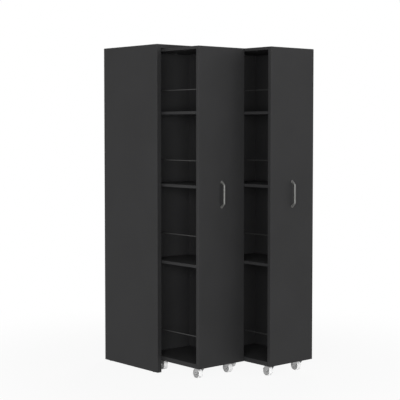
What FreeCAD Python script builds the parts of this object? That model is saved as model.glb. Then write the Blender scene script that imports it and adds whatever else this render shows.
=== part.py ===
import FreeCAD, Part
import math
import os

# Extendable bookcase: an open-bottomed shell on the floor and two bookcase units on casters that
# roll straight out of it. All lengths are in millimetres, +X is to the right, -Y is the side that
# the units come out of, +Z is up. The origin lies on the floor, under the middle of the whole.

# Shell
SHELL_WIDTH = 740.0
SHELL_DEPTH = 500.0
SHELL_HEIGHT = 1850.0
SIDE_THICKNESS = 28.0
TOP_THICKNESS = 22.0
BACK_THICKNESS = 3.0
BACK_REBATE = 10.0
BACK_FIT = 0.2
RAIL_THICKNESS = 16.0
RAIL_HEIGHT = 100.0
EDGE_RADIUS = 1.0

# Units in the shell, and how far each one is pulled out
UNIT_SIDE_GAP = 5.0
UNIT_MIDDLE_GAP = 3.0
UNIT_TOP_GAP = 3.0
STOP_GAP = 0.5
LEFT_PULL = 316.0
RIGHT_PULL = 524.0

# Boards of a unit
FRONT_THICKNESS = 22.0
REAR_THICKNESS = 16.0
WALL_THICKNESS = 16.0
TOP_BOARD_THICKNESS = 16.0
BASE_BOARD_THICKNESS = 25.0
SHELF_THICKNESS = 16.0
# free heights of the compartments from the bottom up, and the height of each one's rod in it
COMPARTMENT_SHARES = (0.317, 0.250, 0.232, 0.201)
ROD_SHARES = (0.286, 0.373, 0.346, 0.351)

# Rods across the open side
ROD_DIAMETER = 6.0
ROD_INSET = 10.0
ROD_SEAT = 9.0

# Wooden dowels
DOWEL_DIAMETER = 8.0
DOWEL_LENGTH = 30.0
DOWEL_SEAT = 11.0
DOWEL_INSET = 14.0
DOWEL_CHAMFER = 1.0
DOWEL_FIT = 0.1
DOWEL_END_GAP = 0.5

# Cam fittings: a cam in the board, and a bolt in the panel that it pulls on
CAM_DIAMETER = 15.0
CAM_HEIGHT = 12.0
CAM_SETBACK = 24.0
CAM_INSET = 120.0
CAM_FIT = 0.1
CAM_SLOT_WIDTH = 2.0
CAM_SLOT_LENGTH = 9.0
CAM_SLOT_DEPTH = 2.5
BOLT_THREAD_DIAMETER = 5.0
BOLT_THREAD_LENGTH = 10.0
BOLT_COLLAR_DIAMETER = 9.0
BOLT_COLLAR_THICKNESS = 1.5
BOLT_SHANK_DIAMETER = 5.0
BOLT_BORE_DIAMETER = 7.0
BOLT_FIT = 0.1

# Bow handle, its height given from the floor to its middle
HANDLE_HEIGHT = 1017.0
HANDLE_CENTRES = 135.0
HANDLE_REACH = 20.5
HANDLE_NECK = 4.0
GRIP_DIAMETER = 12.0
HANDLE_BEND_RADIUS = 9.0
FOOT_DIAMETER = 18.0
FOOT_THICKNESS = 3.0
FOOT_ROUND = 1.2
HANDLE_SCREW_DIAMETER = 4.0
HANDLE_SCREW_GRIP = 6.5
HANDLE_BORE_SPARE = 0.5
HANDLE_SCREW_FIT = 0.1
SCREW_HEAD_DIAMETER = 8.0
SCREW_HEAD_HEIGHT = 2.6
SCREW_HEAD_SEAT = 3.0

# Casters
CASTER_HEIGHT = 69.0
CASTER_LEFT_INSET = 64.0
CASTER_RIGHT_INSET = 48.0
CASTER_FRONT_INSET = 47.5
CASTER_REAR_INSET = 80.5
WHEEL_DIAMETER = 55.0
WHEEL_WIDTH = 28.0
WHEEL_TRAIL = 13.0
TREAD_THICKNESS = 2.0
TREAD_WIDTH = 26.5
TREAD_ROUND = 1.5
HUB_RIM_THICKNESS = 5.0
HUB_RIM_WIDTH = 25.0
HUB_WEB_THICKNESS = 18.0
HUB_BOSS_DIAMETER = 15.0
WHEEL_SIDE_GAP = 1.0
AXLE_DIAMETER = 7.0
AXLE_RUNNING_FIT = 0.05
AXLE_HOLE_FIT = 0.05
AXLE_HEAD_DIAMETER = 12.0
AXLE_HEAD_HEIGHT = 2.5
NUT_SIDES = 6
NUT_FLATS = 11.0
NUT_HEIGHT = 4.0
FORK_SHEET = 2.5
FORK_BEND_RADIUS = 3.5
FORK_LEG_RADIUS = 8.5
FORK_HEAD_LENGTH = 42.0
RACE_DIAMETER = 40.0
RACE_HEIGHT = 1.0
WHEEL_TOP_GAP = 2.5
PLATE_SIDE = 58.0
PLATE_THICKNESS = 2.5
PLATE_CORNER = 7.0
PLATE_HOLE_SPACING = 43.0
PLATE_CUP_DIAMETER = 34.0
PLATE_CUP_HEIGHT = 3.5
PLATE_CUP_TAPER = 3.0
BEARING_DIAMETER = 34.0
BEARING_BORE = 12.0
SWIVEL_GAP = 0.3
KINGPIN_DIAMETER = 8.0
KINGPIN_RUNNING_FIT = 0.05
KINGPIN_HEAD_DIAMETER = 14.0
KINGPIN_HEAD_HEIGHT = 2.0
PLATE_SCREW_DIAMETER = 4.0
PLATE_SCREW_LENGTH = 15.0
PLATE_SCREW_FIT = 0.1
PLATE_SCREW_POINT = 4.0
PLATE_SCREW_HEAD_DIAMETER = 8.0
PLATE_SCREW_HEAD_HEIGHT = 2.4

# Small parts of the shell
GLIDE_DIAMETER = 22.0
GLIDE_HEIGHT = 3.0
GLIDE_END_INSET = 45.0
GLIDE_PIN_DIAMETER = 5.0
GLIDE_PIN_LENGTH = 14.0
GLIDE_ROUND = 1.0
BUFFER_DIAMETER = 16.0
BUFFER_TIP_DIAMETER = 12.0
BUFFER_LENGTH = 10.5
BUFFER_SIDE_INSET = 60.0
BACK_SCREW_DIAMETER = 3.0
BACK_SCREW_LENGTH = 16.0
BACK_SCREW_HEAD_DIAMETER = 6.0
BACK_SCREW_HEAD_HEIGHT = 1.6
BACK_SCREW_FIT = 0.1
BACK_SCREW_PITCH = 300.0
WALL_BORE_DIAMETER = 6.0
WALL_BORE_SIDE_INSET = 150.0
SHELL_DOWEL_INSET = 20.0
SHELL_CAM_INSET = 92.0
RAIL_DOWEL_INSET = 18.0

# How far a cutting shape runs past the face that it cuts
OVERRUN = 2.0

# Worked out from the sizes above
SHELL_INSIDE = SHELL_WIDTH - 2 * SIDE_THICKNESS
UNIT_WIDTH = (SHELL_INSIDE - 2 * UNIT_SIDE_GAP - UNIT_MIDDLE_GAP) / 2
RAIL_FRONT = SHELL_DEPTH - BACK_THICKNESS - RAIL_THICKNESS
UNIT_LENGTH = RAIL_FRONT - BUFFER_LENGTH - STOP_GAP
UNIT_TOP = SHELL_HEIGHT - TOP_THICKNESS - UNIT_TOP_GAP
BOARD_WIDTH = UNIT_WIDTH - WALL_THICKNESS
BASE_TOP = CASTER_HEIGHT + BASE_BOARD_THICKNESS
TOP_BOARD_BOTTOM = UNIT_TOP - TOP_BOARD_THICKNESS
SHELF_COUNT = len(COMPARTMENT_SHARES) - 1
CLEAR_HEIGHT = TOP_BOARD_BOTTOM - BASE_TOP - SHELF_COUNT * SHELF_THICKNESS
TOP_BOTTOM = SHELL_HEIGHT - TOP_THICKNESS
HANDLE_OUT = HANDLE_REACH + GRIP_DIAMETER / 2
MIDDLE_Y = (SHELL_DEPTH - max(LEFT_PULL, RIGHT_PULL) - HANDLE_OUT) / 2

X = FreeCAD.Vector(1, 0, 0)
Y = FreeCAD.Vector(0, 1, 0)
Z = FreeCAD.Vector(0, 0, 1)


def box(x, y, z):
    """A block between two X values, two Y values and two Z values."""
    corner = FreeCAD.Vector(x[0], y[0], z[0])
    return Part.makeBox(x[1] - x[0], y[1] - y[0], z[1] - z[0], corner)


def rod(start, direction, radius, length):
    """A round bar from a point along a direction."""
    return Part.makeCylinder(radius, length, FreeCAD.Vector(*start), direction)


def ring(start, direction, outer, inner, length):
    """A round bar with a bore through it."""
    bore = rod(start, direction, inner, length)
    return rod(start, direction, outer, length).cut(bore)


def turned(points, direction, centre):
    """A solid turned from an outline of (radius, height) points about an axis through a centre."""
    outline = [FreeCAD.Vector(radius, 0, height) for radius, height in points]
    face = Part.Face(Part.makePolygon(outline + outline[:1]))
    solid = face.revolve(FreeCAD.Vector(0, 0, 0), Z, 360)
    solid.Placement = FreeCAD.Placement(FreeCAD.Vector(*centre), FreeCAD.Rotation(Z, direction))
    return solid


def cut(shape, tools):
    """The shape without a list of cutting shapes."""
    return shape.cut(Part.makeCompound(tools)) if tools else shape


def eased(board, chosen=None):
    """A board with its edges rounded, or only those that a test picks."""
    edges = [edge for edge in board.Edges if chosen is None or chosen(edge)]
    return board.makeFillet(EDGE_RADIUS, edges)


def write(name, *solids):
    """Moves the solids into the part's frame and writes them as one node."""
    shape = Part.makeCompound(list(solids)) if len(solids) > 1 else solids[0]
    shape = shape.copy()
    shape.translate(FreeCAD.Vector(-SHELL_WIDTH / 2, -MIDDLE_Y, 0))
    shape.exportStep(f"parts/{name}.step")


# Joinery. A joint is where a board's end meets a panel: a point on the meeting face, at the middle
# of the board's thickness, and the direction from the panel into the board.

def dowel(point, direction):
    """A dowel with chamfered ends, seated in the panel and standing into the board."""
    radius = DOWEL_DIAMETER / 2
    tip = radius - DOWEL_CHAMFER
    outline = [(0, 0), (tip, 0), (radius, DOWEL_CHAMFER), (radius, DOWEL_LENGTH - DOWEL_CHAMFER),
               (tip, DOWEL_LENGTH), (0, DOWEL_LENGTH)]
    return turned(outline, direction, FreeCAD.Vector(*point) - direction * DOWEL_SEAT)


def dowel_bores(point, direction):
    """The bores of one dowel, in the panel and in the board together."""
    start = FreeCAD.Vector(*point) - direction * (DOWEL_SEAT + DOWEL_END_GAP)
    radius = DOWEL_DIAMETER / 2 + DOWEL_FIT
    return rod(start, direction, radius, DOWEL_LENGTH + 2 * DOWEL_END_GAP)


def cam_face(point, direction, thickness):
    """Where a cam's open face lies: on the board's lower face, set back from its end."""
    return FreeCAD.Vector(*point) + direction * CAM_SETBACK - Z * (thickness / 2)


def cam(point, direction, thickness):
    """A cam in the board's lower face, hollow where its bolt enters, with a slot to turn it."""
    base = cam_face(point, direction, thickness)
    body = rod(base, Z, CAM_DIAMETER / 2, CAM_HEIGHT)
    entry = FreeCAD.Vector(*point) + direction * (CAM_SETBACK - CAM_DIAMETER)
    hollow = rod(entry, direction, BOLT_BORE_DIAMETER / 2, CAM_DIAMETER)
    across = Z.cross(direction)
    slots = []
    for along, wide in ((direction, across), (across, direction)):
        corner = base - along * (CAM_SLOT_LENGTH / 2) - wide * (CAM_SLOT_WIDTH / 2) - Z * OVERRUN
        slot = Part.makeBox(CAM_SLOT_LENGTH, CAM_SLOT_WIDTH, CAM_SLOT_DEPTH + OVERRUN)
        slot.Placement = FreeCAD.Placement(corner, FreeCAD.Rotation(along, wide, Z, "XYZ"))
        slots.append(slot)
    return cut(body, [hollow] + slots)


def cam_bolt(point, direction):
    """A bolt screwed into the panel, with a collar on its face and a shank to the cam's middle."""
    thread = BOLT_THREAD_DIAMETER / 2
    collar = BOLT_COLLAR_DIAMETER / 2
    shank = BOLT_SHANK_DIAMETER / 2
    end = BOLT_THREAD_LENGTH + CAM_SETBACK
    outline = [(0, 0), (thread, 0), (thread, BOLT_THREAD_LENGTH - BOLT_COLLAR_THICKNESS),
               (collar, BOLT_THREAD_LENGTH - BOLT_COLLAR_THICKNESS), (collar, BOLT_THREAD_LENGTH),
               (shank, BOLT_THREAD_LENGTH), (shank, end), (0, end)]
    return turned(outline, direction, FreeCAD.Vector(*point) - direction * BOLT_THREAD_LENGTH)


def cam_bores(point, direction, thickness):
    """The cuts of one cam fitting: the cam's bore, the bolt's bores and the collar's recess."""
    base = cam_face(point, direction, thickness) - Z * OVERRUN
    on_face = FreeCAD.Vector(*point)
    thread = on_face - direction * (BOLT_THREAD_LENGTH + BOLT_FIT)
    collar = on_face - direction * (BOLT_COLLAR_THICKNESS + BOLT_FIT)
    return [
        rod(base, Z, CAM_DIAMETER / 2 + CAM_FIT, CAM_HEIGHT + OVERRUN + CAM_FIT),
        rod(on_face, direction, BOLT_BORE_DIAMETER / 2, CAM_SETBACK),
        rod(thread, direction, BOLT_THREAD_DIAMETER / 2 + BOLT_FIT, BOLT_THREAD_LENGTH + BOLT_FIT),
        rod(collar, direction, BOLT_COLLAR_DIAMETER / 2 + BOLT_FIT, BOLT_COLLAR_THICKNESS + BOLT_FIT),
    ]


class Joinery:
    """The dowels and cam fittings of one body, and the bores that its boards need for them."""

    def __init__(self):
        self.dowels = []
        self.fittings = []
        self.bores = []

    def add_dowel(self, point, direction):
        self.dowels.append(dowel(point, direction))
        self.bores.append(dowel_bores(point, direction))

    def add_cam(self, point, direction, thickness):
        self.fittings.append(cam(point, direction, thickness))
        self.fittings.append(cam_bolt(point, direction))
        self.bores += cam_bores(point, direction, thickness)

    def bored(self, board):
        """The board with every bore that reaches into it."""
        reach = board.BoundBox
        return cut(board, [bore for bore in self.bores if reach.intersect(bore.BoundBox)])


def shelf_bottoms():
    """Heights of the three shelves' lower faces."""
    heights = []
    height = BASE_TOP
    for share in COMPARTMENT_SHARES[:-1]:
        height += share * CLEAR_HEIGHT
        heights.append(height)
        height += SHELF_THICKNESS
    return heights


def rod_heights():
    """Heights of the four rods' centre lines."""
    floors = [BASE_TOP] + [bottom + SHELF_THICKNESS for bottom in shelf_bottoms()]
    shares = zip(floors, COMPARTMENT_SHARES, ROD_SHARES)
    return [floor + free * place * CLEAR_HEIGHT for floor, free, place in shares]


def unit_joinery():
    """Dowels and cams of a unit: each board to front, rear panel and wall, and the wall's ends."""
    joinery = Joinery()
    rear = UNIT_LENGTH - REAR_THICKNESS
    levels = [(CASTER_HEIGHT, BASE_BOARD_THICKNESS), (TOP_BOARD_BOTTOM, TOP_BOARD_THICKNESS)]
    levels += [(bottom, SHELF_THICKNESS) for bottom in shelf_bottoms()]
    for bottom, thickness in levels:
        middle = bottom + thickness / 2
        for inset in (DOWEL_INSET, BOARD_WIDTH - DOWEL_INSET):
            joinery.add_dowel((inset, FRONT_THICKNESS, middle), Y)
            joinery.add_dowel((inset, rear, middle), -Y)
        for inset in (CAM_INSET, BOARD_WIDTH - CAM_INSET):
            joinery.add_cam((inset, FRONT_THICKNESS, middle), Y, thickness)
            joinery.add_cam((inset, rear, middle), -Y, thickness)
        for place in (FRONT_THICKNESS + CAM_INSET, rear - CAM_INSET):
            joinery.add_dowel((BOARD_WIDTH, place, middle), -X)
    wall_middle = UNIT_WIDTH - WALL_THICKNESS / 2
    for height in rod_heights():
        joinery.add_dowel((wall_middle, FRONT_THICKNESS, height), Y)
        joinery.add_dowel((wall_middle, rear, height), -Y)
    return joinery


def front_panel(joinery):
    """The front panel, with blind bores for rods and stepped bores for the handle's screws."""
    panel = eased(box((0, UNIT_WIDTH), (0, FRONT_THICKNESS), (CASTER_HEIGHT, UNIT_TOP)))
    bores = rod_bores((FRONT_THICKNESS, Y))
    for foot in handle_feet():
        start = (UNIT_WIDTH / 2, -OVERRUN, foot)
        through = FRONT_THICKNESS + 2 * OVERRUN
        bores.append(rod(start, Y, HANDLE_SCREW_DIAMETER / 2 + HANDLE_SCREW_FIT, through))
        seat = (UNIT_WIDTH / 2, FRONT_THICKNESS - SCREW_HEAD_SEAT, foot)
        radius = SCREW_HEAD_DIAMETER / 2 + HANDLE_SCREW_FIT
        bores.append(rod(seat, Y, radius, SCREW_HEAD_SEAT + OVERRUN))
    return joinery.bored(cut(panel, bores))


def rear_panel(joinery):
    """The rear panel, with the blind bores of the rods."""
    rear = UNIT_LENGTH - REAR_THICKNESS
    panel = eased(box((0, UNIT_WIDTH), (rear, UNIT_LENGTH), (CASTER_HEIGHT, UNIT_TOP)))
    return joinery.bored(cut(panel, rod_bores((rear, -Y))))


def rod_bores(face):
    """Blind bores for the rods in the inner face of a panel, given as a Y value and a direction."""
    place, inward = face
    depth = ROD_SEAT + DOWEL_END_GAP
    bores = []
    for height in rod_heights():
        start = FreeCAD.Vector(ROD_INSET, place, height) - inward * depth
        bores.append(rod(start, inward, ROD_DIAMETER / 2 + DOWEL_FIT, depth + OVERRUN))
    return bores


def book_rails():
    """The four rods, each seated in the front and the rear panel."""
    start = FRONT_THICKNESS - ROD_SEAT
    length = UNIT_LENGTH - REAR_THICKNESS + ROD_SEAT - start
    return [rod((ROD_INSET, start, z), Y, ROD_DIAMETER / 2, length) for z in rod_heights()]


def side_wall(joinery):
    """The closed right side of a unit."""
    ends = (FRONT_THICKNESS, UNIT_LENGTH - REAR_THICKNESS)
    return joinery.bored(box((BOARD_WIDTH, UNIT_WIDTH), ends, (CASTER_HEIGHT, UNIT_TOP)))


def level_board(joinery, bottom, thickness, drilled=()):
    """A board between the panels and the wall, its long open edge on the left rounded."""
    ends = (FRONT_THICKNESS, UNIT_LENGTH - REAR_THICKNESS)
    board = box((0, BOARD_WIDTH), ends, (bottom, bottom + thickness))
    board = eased(board, lambda edge: edge.BoundBox.XMax < EDGE_RADIUS < edge.BoundBox.YLength)
    return cut(joinery.bored(board), list(drilled))


def handle_feet():
    """Heights of the handle's two feet."""
    return (HANDLE_HEIGHT - HANDLE_CENTRES / 2, HANDLE_HEIGHT + HANDLE_CENTRES / 2)


def bow_path():
    """The handle's centre line from foot to foot: straight runs joined by tangent arcs."""
    low, high = handle_feet()
    slant = HANDLE_REACH - HANDLE_NECK
    corners = [
        FreeCAD.Vector(0, 0, low), FreeCAD.Vector(0, -HANDLE_NECK, low),
        FreeCAD.Vector(0, -HANDLE_REACH, low + slant), FreeCAD.Vector(0, -HANDLE_REACH, high - slant),
        FreeCAD.Vector(0, -HANDLE_NECK, high), FreeCAD.Vector(0, 0, high),
    ]
    edges = []
    start = corners[0]
    for before, corner, after in zip(corners, corners[1:], corners[2:]):
        arriving = (corner - before).normalize()
        leaving = (after - corner).normalize()
        turn = arriving.getAngle(leaving)
        reach = HANDLE_BEND_RADIUS * math.tan(turn / 2)
        enter = corner - arriving * reach
        leave = corner + leaving * reach
        inward = (leaving - arriving).normalize()
        centre = corner + inward * (HANDLE_BEND_RADIUS / math.cos(turn / 2))
        edges.append(Part.LineSegment(start, enter).toShape())
        edges.append(Part.Arc(enter, centre - inward * HANDLE_BEND_RADIUS, leave).toShape())
        start = leave
    edges.append(Part.LineSegment(start, corners[-1]).toShape())
    return Part.Wire(edges)


def handle():
    """The bow handle: a bent round bar on two round feet, each with a blind bore for a screw."""
    section = Part.Wire(Part.makeCircle(GRIP_DIAMETER / 2, bow_path().Vertexes[0].Point, -Y))
    bow = bow_path().makePipeShell([section], True, False)
    bores = []
    for height in handle_feet():
        foot = rod((0, 0, height), -Y, FOOT_DIAMETER / 2, FOOT_THICKNESS)
        rim = [edge for edge in foot.Edges if edge.BoundBox.YMax < -FOOT_THICKNESS / 2]
        bow = bow.fuse(foot.makeFillet(FOOT_ROUND, rim))
        depth = HANDLE_SCREW_GRIP + HANDLE_BORE_SPARE + OVERRUN
        radius = HANDLE_SCREW_DIAMETER / 2 + HANDLE_SCREW_FIT
        bores.append(rod((0, OVERRUN, height), -Y, radius, depth))
    bow = cut(bow, bores).removeSplitter()
    bow.translate(X * (UNIT_WIDTH / 2))
    return bow


def handle_screws():
    """The screws from inside the front panel into the handle's feet, heads below the surface."""
    screws = []
    for height in handle_feet():
        seat = (UNIT_WIDTH / 2, FRONT_THICKNESS - SCREW_HEAD_SEAT, height)
        head = rod(seat, Y, SCREW_HEAD_DIAMETER / 2, SCREW_HEAD_HEIGHT)
        length = FRONT_THICKNESS - SCREW_HEAD_SEAT + HANDLE_SCREW_GRIP
        shank = rod(seat, -Y, HANDLE_SCREW_DIAMETER / 2, length)
        screws.append(head.fuse(shank).removeSplitter())
    return screws


# Casters, modelled with the kingpin's axis at X = Y = 0, the floor at Z = 0 and the wheel to the rear

AXLE_HEIGHT = WHEEL_DIAMETER / 2
AXLE_Y = WHEEL_TRAIL
CROWN_BOTTOM = WHEEL_DIAMETER + WHEEL_TOP_GAP
CROWN_TOP = CROWN_BOTTOM + FORK_SHEET
RACE_TOP = CROWN_TOP + RACE_HEIGHT
PLATE_BOTTOM = CASTER_HEIGHT - PLATE_THICKNESS
CUP_BOTTOM = PLATE_BOTTOM - PLATE_CUP_HEIGHT
FORK_GAP = WHEEL_WIDTH + 2 * WHEEL_SIDE_GAP
FORK_WIDTH = FORK_GAP + 2 * FORK_SHEET


def plate_holes():
    """Places of the four screws round the kingpin."""
    half = PLATE_HOLE_SPACING / 2
    return [(x, y) for x in (-half, half) for y in (-half, half)]


def caster_plate():
    """The plate with its cup and the riveted kingpin, one solid."""
    half = PLATE_SIDE / 2
    plate = box((-half, half), (-half, half), (PLATE_BOTTOM, CASTER_HEIGHT))
    corners = [edge for edge in plate.Edges if edge.BoundBox.ZLength > PLATE_THICKNESS / 2]
    plate = plate.makeFillet(PLATE_CORNER, corners)
    radius = PLATE_SCREW_DIAMETER / 2 + PLATE_SCREW_FIT
    start = PLATE_BOTTOM - OVERRUN
    through = PLATE_THICKNESS + 2 * OVERRUN
    plate = cut(plate, [rod((x, y, start), Z, radius, through) for x, y in plate_holes()])
    pin = KINGPIN_DIAMETER / 2
    head = KINGPIN_HEAD_DIAMETER / 2
    cup = PLATE_CUP_DIAMETER / 2
    head_top = CROWN_BOTTOM - SWIVEL_GAP
    outline = [(0, PLATE_BOTTOM), (cup + PLATE_CUP_TAPER, PLATE_BOTTOM), (cup, CUP_BOTTOM),
               (pin, CUP_BOTTOM), (pin, head_top), (head, head_top),
               (head, head_top - KINGPIN_HEAD_HEIGHT), (0, head_top - KINGPIN_HEAD_HEIGHT)]
    return plate.fuse(turned(outline, Z, (0, 0, 0))).removeSplitter()


def swivel_bearing():
    """The bearing ring between the plate's cup and the fork's race."""
    bottom = RACE_TOP + SWIVEL_GAP
    return ring((0, 0, bottom), Z, BEARING_DIAMETER / 2, BEARING_BORE / 2, CUP_BOTTOM - bottom)


def plate_screws():
    """The four screws of a plate, with pan heads under it."""
    screws = []
    for x, y in plate_holes():
        shank = PLATE_SCREW_DIAMETER / 2
        head = PLATE_SCREW_HEAD_DIAMETER / 2
        low = PLATE_BOTTOM - PLATE_SCREW_HEAD_HEIGHT
        top = PLATE_BOTTOM + PLATE_SCREW_LENGTH
        outline = [(0, low), (head / 2, low), (head, low + PLATE_SCREW_HEAD_HEIGHT / 2),
                   (head, PLATE_BOTTOM), (shank, PLATE_BOTTOM), (shank, top - PLATE_SCREW_POINT), (0, top)]
        screws.append(turned(outline, Z, (x, y, 0)))
    return screws


def plate_screw_bores():
    """The pilot bores of a plate's screws in the base board."""
    radius = PLATE_SCREW_DIAMETER / 2 + PLATE_SCREW_FIT
    start = CASTER_HEIGHT - OVERRUN
    depth = PLATE_SCREW_LENGTH - PLATE_THICKNESS + OVERRUN + PLATE_SCREW_FIT
    return [rod((x, y, start), Z, radius, depth) for x, y in plate_holes()]


def tangent_point(point, centre, radius, side):
    """Where a line from a point touches a circle, as (y, z); side picks one of the two."""
    dy = centre[0] - point[0]
    dz = centre[1] - point[1]
    distance = math.hypot(dy, dz)
    angle = math.atan2(dz, dy) + side * math.asin(radius / distance)
    reach = math.sqrt(distance ** 2 - radius ** 2)
    return (point[0] + reach * math.cos(angle), point[1] + reach * math.sin(angle))


def fork_side():
    """The fork seen from its side: the crown's end, and a leg rounded about the axle."""
    reach = FORK_HEAD_LENGTH / 2
    shoulder = CROWN_BOTTOM - FORK_BEND_RADIUS
    axle = (AXLE_Y, AXLE_HEIGHT)
    enter = tangent_point((-reach, shoulder), axle, FORK_LEG_RADIUS, -1)
    leave = tangent_point((reach, shoulder), axle, FORK_LEG_RADIUS, 1)

    def at(place):
        return FreeCAD.Vector(0, *place)

    corners = [leave, (reach, shoulder), (reach, CROWN_TOP), (-reach, CROWN_TOP), (-reach, shoulder), enter]
    edges = [Part.LineSegment(at(a), at(b)).toShape() for a, b in zip(corners, corners[1:])]
    bottom = at((axle[0], axle[1] - FORK_LEG_RADIUS))
    edges.append(Part.Arc(at(enter), bottom, at(leave)).toShape())
    return Part.Face(Part.Wire(edges))


def bent_channel():
    """A channel bent from one sheet, open below, in which the fork is cut out."""
    reach = FORK_HEAD_LENGTH / 2

    def block(width, top, radius):
        solid = box((-width / 2, width / 2), (-reach, reach), (0, top))
        ends = [edge for edge in solid.Edges
                if edge.BoundBox.ZMin > top - EDGE_RADIUS and edge.BoundBox.YLength > reach]
        return solid.makeFillet(radius, ends)

    outside = block(FORK_WIDTH, CROWN_TOP, FORK_BEND_RADIUS + FORK_SHEET)
    return outside.cut(block(FORK_GAP, CROWN_BOTTOM, FORK_BEND_RADIUS))


def fork():
    """The fork: two legs and a crown bent from one sheet, with its race and the bores."""
    half = FORK_WIDTH / 2
    side = fork_side().extrude(X * FORK_WIDTH)
    side.translate(-X * half)
    shell = bent_channel().common(side)
    race = rod((0, 0, CROWN_BOTTOM), Z, RACE_DIAMETER / 2, FORK_SHEET + RACE_HEIGHT)
    shell = shell.fuse(race).removeSplitter()
    kingpin = KINGPIN_DIAMETER / 2 + KINGPIN_RUNNING_FIT
    axle = AXLE_DIAMETER / 2 + AXLE_HOLE_FIT
    depth = RACE_TOP - CROWN_BOTTOM + 2 * OVERRUN
    bores = [rod((0, 0, CROWN_BOTTOM - OVERRUN), Z, kingpin, depth),
             rod((-half - OVERRUN, AXLE_Y, AXLE_HEIGHT), X, axle, FORK_WIDTH + 2 * OVERRUN)]
    return cut(shell, bores)


def axle_bolt():
    """The axle: a bolt whose head lies on the left leg, out to the far face of its nut."""
    half = FORK_WIDTH / 2
    head = rod((-half - AXLE_HEAD_HEIGHT, AXLE_Y, AXLE_HEIGHT), X,
               AXLE_HEAD_DIAMETER / 2, AXLE_HEAD_HEIGHT)
    shank = rod((-half, AXLE_Y, AXLE_HEIGHT), X, AXLE_DIAMETER / 2, FORK_WIDTH + NUT_HEIGHT)
    return head.fuse(shank).removeSplitter()


def axle_nut():
    """The hexagonal nut on the axle's right end."""
    corner = NUT_FLATS / 2 / math.cos(math.pi / NUT_SIDES)
    base = FreeCAD.Vector(FORK_WIDTH / 2, AXLE_Y, AXLE_HEIGHT)
    points = []
    for step in range(NUT_SIDES + 1):
        angle = 2 * math.pi * step / NUT_SIDES
        points.append(base + Y * (corner * math.cos(angle)) + Z * (corner * math.sin(angle)))
    nut = Part.Face(Part.makePolygon(points)).extrude(X * NUT_HEIGHT)
    bore = rod(base - X * OVERRUN, X, AXLE_DIAMETER / 2 + AXLE_HOLE_FIT, NUT_HEIGHT + 2 * OVERRUN)
    return nut.cut(bore)


def wheel():
    """The wheel: a hub with boss, web and rim, and the tread on it, as two solids."""
    bore = AXLE_DIAMETER / 2 + AXLE_RUNNING_FIT
    boss = HUB_BOSS_DIAMETER / 2
    outside = WHEEL_DIAMETER / 2
    seat = outside - TREAD_THICKNESS
    rim = seat - HUB_RIM_THICKNESS
    boss_half = WHEEL_WIDTH / 2
    web_half = HUB_WEB_THICKNESS / 2
    rim_half = HUB_RIM_WIDTH / 2
    half = [(bore, boss_half), (boss, boss_half), (boss, web_half), (rim, web_half),
            (rim, rim_half), (seat, rim_half)]
    centre = (0, AXLE_Y, AXLE_HEIGHT)
    hub = turned(half + [(radius, -height) for radius, height in reversed(half)], X, centre)
    tread = ring((-TREAD_WIDTH / 2, AXLE_Y, AXLE_HEIGHT), X, outside, seat, TREAD_WIDTH)
    edges = [edge for edge in tread.Edges
             if edge.BoundBox.ZLength > 2 * outside - EDGE_RADIUS and edge.BoundBox.XLength < EDGE_RADIUS]
    return [hub, tread.makeFillet(TREAD_ROUND, edges)]


def caster_places():
    """Name and kingpin place of the casters, which stand inside the base board's edges."""
    right = UNIT_WIDTH - CASTER_RIGHT_INSET
    front = FRONT_THICKNESS + CASTER_FRONT_INSET
    rear = UNIT_LENGTH - REAR_THICKNESS - CASTER_REAR_INSET
    return [
        ("front_left", CASTER_LEFT_INSET, front),
        ("front_right", right, front),
        ("rear_left", CASTER_LEFT_INSET, rear),
        ("rear_right", right, rear),
    ]


def at_caster(shape, place):
    """A shape of a caster, moved under the unit."""
    moved = shape.copy()
    moved.translate(FreeCAD.Vector(place[1], place[2], 0))
    return moved


def build_unit(name, offset):
    """One bookcase unit on its casters, moved to its place in or before the shell."""
    joinery = unit_joinery()
    places = caster_places()

    def put(node, *solids):
        moved = []
        for solid in solids:
            shape = solid.copy()
            shape.translate(offset)
            moved.append(shape)
        write(f"{name}_{node}", *moved)

    pilots = [at_caster(bore, place) for place in places for bore in plate_screw_bores()]
    put("front_panel", front_panel(joinery))
    put("rear_panel", rear_panel(joinery))
    put("side_wall", side_wall(joinery))
    put("top_board", level_board(joinery, TOP_BOARD_BOTTOM, TOP_BOARD_THICKNESS))
    put("base_board", level_board(joinery, CASTER_HEIGHT, BASE_BOARD_THICKNESS, pilots))
    for level, bottom in zip(("lower", "middle", "upper"), shelf_bottoms()):
        put(f"shelf_{level}", level_board(joinery, bottom, SHELF_THICKNESS))
    put("book_rails", *book_rails())
    put("handle", handle())
    put("handle_screws", *handle_screws())
    put("dowels", *joinery.dowels)
    put("cam_fittings", *joinery.fittings)
    put("caster_plates", *[at_caster(caster_plate(), place) for place in places])
    put("swivel_bearings", *[at_caster(swivel_bearing(), place) for place in places])
    put("caster_screws", *[at_caster(screw, place) for place in places for screw in plate_screws()])
    for place in places:
        fork_pieces = (fork(), axle_bolt(), axle_nut())
        put(f"fork_{place[0]}", *[at_caster(piece, place) for piece in fork_pieces])
        put(f"wheel_{place[0]}", *[at_caster(piece, place) for piece in wheel()])


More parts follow.
